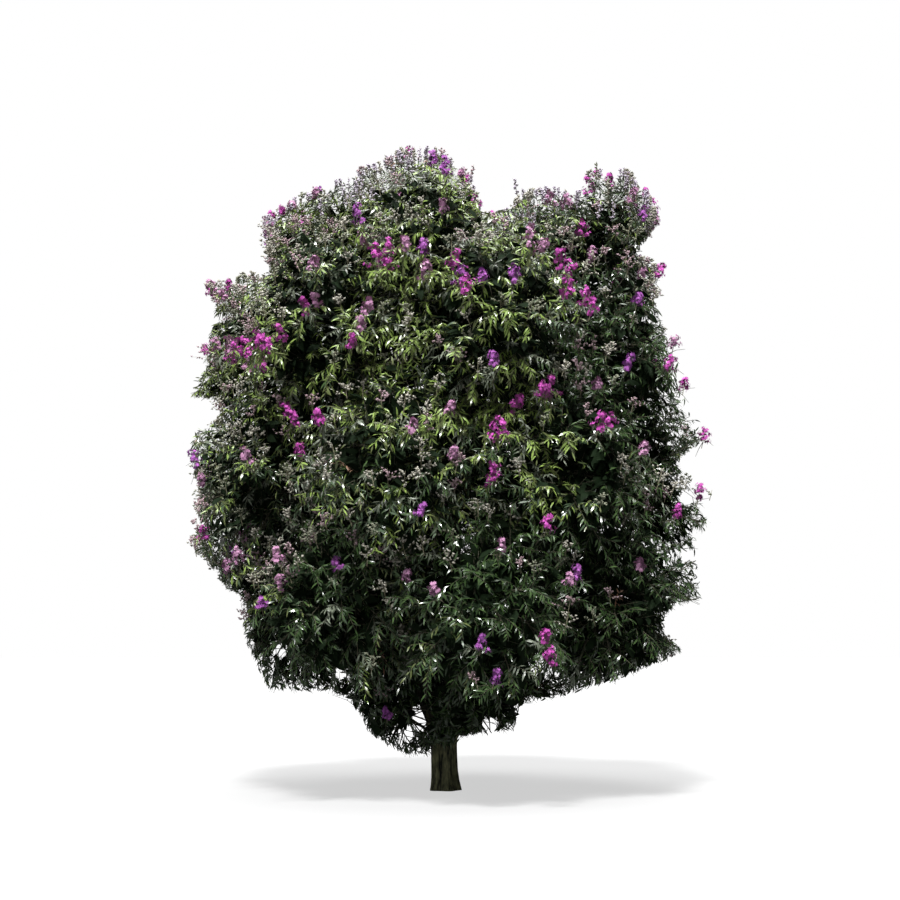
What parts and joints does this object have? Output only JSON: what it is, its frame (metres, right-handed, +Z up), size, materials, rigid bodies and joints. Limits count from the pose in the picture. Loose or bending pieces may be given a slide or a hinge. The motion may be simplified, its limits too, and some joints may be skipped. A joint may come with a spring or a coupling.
{
  "type": "queen crape myrtle tree",
  "caption": "Queen crape myrtle in bloom: a short flared trunk forks low into tapering boughs that carry a dense barrel-shaped crown of leafy masses and upright blossom panicles.",
  "frame": {"origin": "middle of the trunk's flat cut at ground level", "axes": "+Z up the trunk, +X to the right and +Y away from the viewer in the front view"},
  "size_m": [5.9114, 6.0588, 7.5],
  "materials": {
    "bark": "rough greenish brown bark with fine upright fissures",
    "leaf": "dark green glossy leaves with paler undersides",
    "blossom": "soft magenta and pink petals in upright panicles"
  },
  "bodies": {
    "root": {"trunk": "bark", "main_bough_1": "bark", "main_bough_2": "bark", "main_bough_3": "bark", "main_bough_4": "bark", "main_bough_5": "bark", "main_bough_6": "bark", "main_bough_7": "bark", "cleft_bough": "bark", "crest_bough_1": "bark", "crest_bough_2": "bark", "crest_bough_3": "bark", "crest_bough_4": "bark", "skirt_bough_1": "bark", "skirt_bough_2": "bark", "skirt_bough_3": "bark", "skirt_bough_4": "bark", "skirt_bough_5": "bark", "skirt_bough_6": "bark", "skirt_bough_7": "bark", "top_bough": "bark", "waist_bough_1": "bark", "waist_bough_2": "bark", "waist_bough_3": "bark", "waist_bough_4": "bark", "waist_bough_5": "bark", "waist_bough_6": "bark", "waist_bough_7": "bark", "cleft_foliage": "leaf", "crest_foliage_1": "leaf", "crest_foliage_2": "leaf", "crest_foliage_3": "leaf", "crest_foliage_4": "leaf", "hem_foliage_1": "leaf", "hem_foliage_2": "leaf", "hem_foliage_3": "leaf", "shoulder_foliage_1": "leaf", "shoulder_foliage_2": "leaf", "shoulder_foliage_3": "leaf", "shoulder_foliage_4": "leaf", "shoulder_foliage_5": "leaf", "shoulder_foliage_6": "leaf", "shoulder_foliage_7": "leaf", "skirt_foliage_1": "leaf", "skirt_foliage_2": "leaf", "skirt_foliage_3": "leaf", "skirt_foliage_4": "leaf", "skirt_foliage_5": "leaf", "skirt_foliage_6": "leaf", "skirt_foliage_7": "leaf", "top_foliage": "leaf", "waist_foliage_1": "leaf", "waist_foliage_2": "leaf", "waist_foliage_3": "leaf", "waist_foliage_4": "leaf", "waist_foliage_5": "leaf", "waist_foliage_6": "leaf", "waist_foliage_7": "leaf"}
  },
  "joints": []
}
